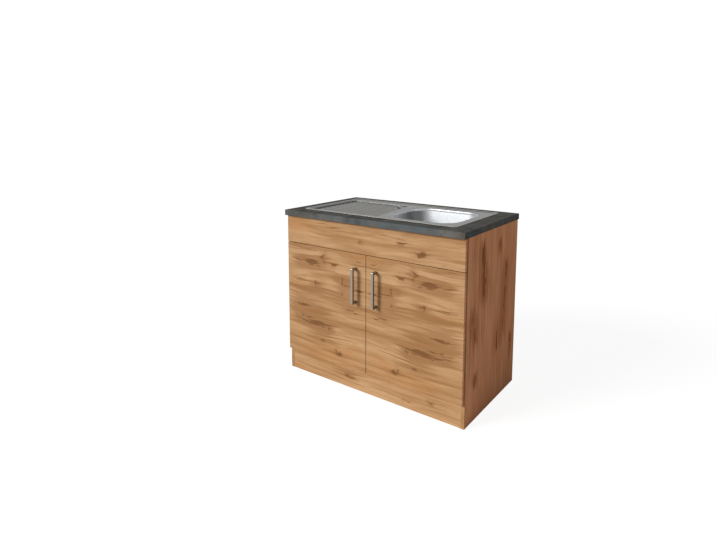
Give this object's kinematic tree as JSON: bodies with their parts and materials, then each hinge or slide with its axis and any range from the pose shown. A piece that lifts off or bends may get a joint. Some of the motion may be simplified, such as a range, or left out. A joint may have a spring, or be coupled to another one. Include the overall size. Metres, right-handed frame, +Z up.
{
  "type": "kitchen sink unit",
  "caption": "Freestanding kitchen base unit with hinged doors, false drawer front, dark worktop and inset steel sink with ribbed drainer and bowl.",
  "frame": {"origin": "on the floor under the middle of the whole unit, handles included", "axes": "+X to the right seen from the front, +Y to the back, +Z up"},
  "size_m": [1, 0.619, 0.853],
  "materials": {
    "oak_board": "satin printed oak board",
    "oak_front": "satin printed oak front",
    "worktop_laminate": "dark slate laminate, slightly mottled",
    "sink_steel": "brushed stainless steel",
    "handle_metal": "satin nickel",
    "fitting_steel": "zinc plated steel",
    "clear_bumper": "clear soft dot",
    "black_seal": "matt black rubber",
    "white_moulding": "white moulded plastic"
  },
  "bodies": {
    "carcass": {"side_panel_left": "oak_board", "side_panel_right": "oak_board", "bottom_shelf": "oak_board", "front_rail": "oak_board", "mid_rail": "oak_board", "rear_rail_top": "oak_board", "rear_rail_bottom": "oak_board", "cams": "fitting_steel", "cam_bolts": "fitting_steel", "plinth_board": "oak_board", "plinth_brackets": "fitting_steel", "worktop_brackets": "fitting_steel", "false_front_brackets": "fitting_steel", "false_front_spacers": "black_seal", "false_drawer_front": "oak_front", "worktop": "worktop_laminate", "hinge_plates_left": "fitting_steel", "hinge_plates_right": "fitting_steel", "hinge_arms_left": "fitting_steel", "hinge_arms_right": "fitting_steel", "arm_pins_left": "fitting_steel", "arm_pins_right": "fitting_steel", "hinge_screws": "fitting_steel", "sink_top": "sink_steel", "sink_bowl": "sink_steel", "tap_ring": "fitting_steel", "sink_seal": "black_seal", "sink_clips": "fitting_steel", "waste_pan": "fitting_steel", "waste_gasket": "black_seal", "waste_body": "white_moulding", "waste_screw": "fitting_steel"},
    "strainer": {"strainer_basket": "fitting_steel", "strainer_seal": "black_seal"},
    "link_left": {"hinge_links_left": "fitting_steel"},
    "door_left": {"door_left": "oak_front", "handle_left": "handle_metal", "handle_screws_left": "fitting_steel", "door_bumpers_left": "clear_bumper", "hinge_cups_left": "fitting_steel", "cup_screws_left": "fitting_steel", "cup_pins_left": "fitting_steel"},
    "link_right": {"hinge_links_right": "fitting_steel"},
    "door_right": {"door_right": "oak_front", "handle_right": "handle_metal", "handle_screws_right": "fitting_steel", "door_bumpers_right": "clear_bumper", "hinge_cups_right": "fitting_steel", "cup_screws_right": "fitting_steel", "cup_pins_right": "fitting_steel"}
  },
  "joints": [
    {"name": "hinge_link_left", "type": "hinge", "parent": "carcass", "child": "link_left", "pos_m": [-0.465, -0.2537, 0.3955], "axis": [0, 0, 1], "range_deg": [0, 15]},
    {"name": "door_left_hinge", "type": "hinge", "parent": "link_left", "child": "door_left", "pos_m": [-0.4875, -0.266, 0.3955], "axis": [0, 0, -1], "range_deg": [0, 110]},
    {"name": "hinge_link_right", "type": "hinge", "parent": "carcass", "child": "link_right", "pos_m": [0.465, -0.2537, 0.3955], "axis": [0, 0, -1], "range_deg": [0, 15]},
    {"name": "door_right_hinge", "type": "hinge", "parent": "link_right", "child": "door_right", "pos_m": [0.4875, -0.266, 0.3955], "axis": [0, 0, 1], "range_deg": [0, 110]},
    {"name": "strainer_lift", "type": "slide", "parent": "carcass", "child": "strainer", "axis": [0, 0, 1], "range_m": [0, 0.045]}
  ],
  "couplings": [
    {"joint": "hinge_link_left", "follows": "door_left_hinge", "ratio": 0.13636},
    {"joint": "hinge_link_right", "follows": "door_right_hinge", "ratio": 0.13636}
  ]
}
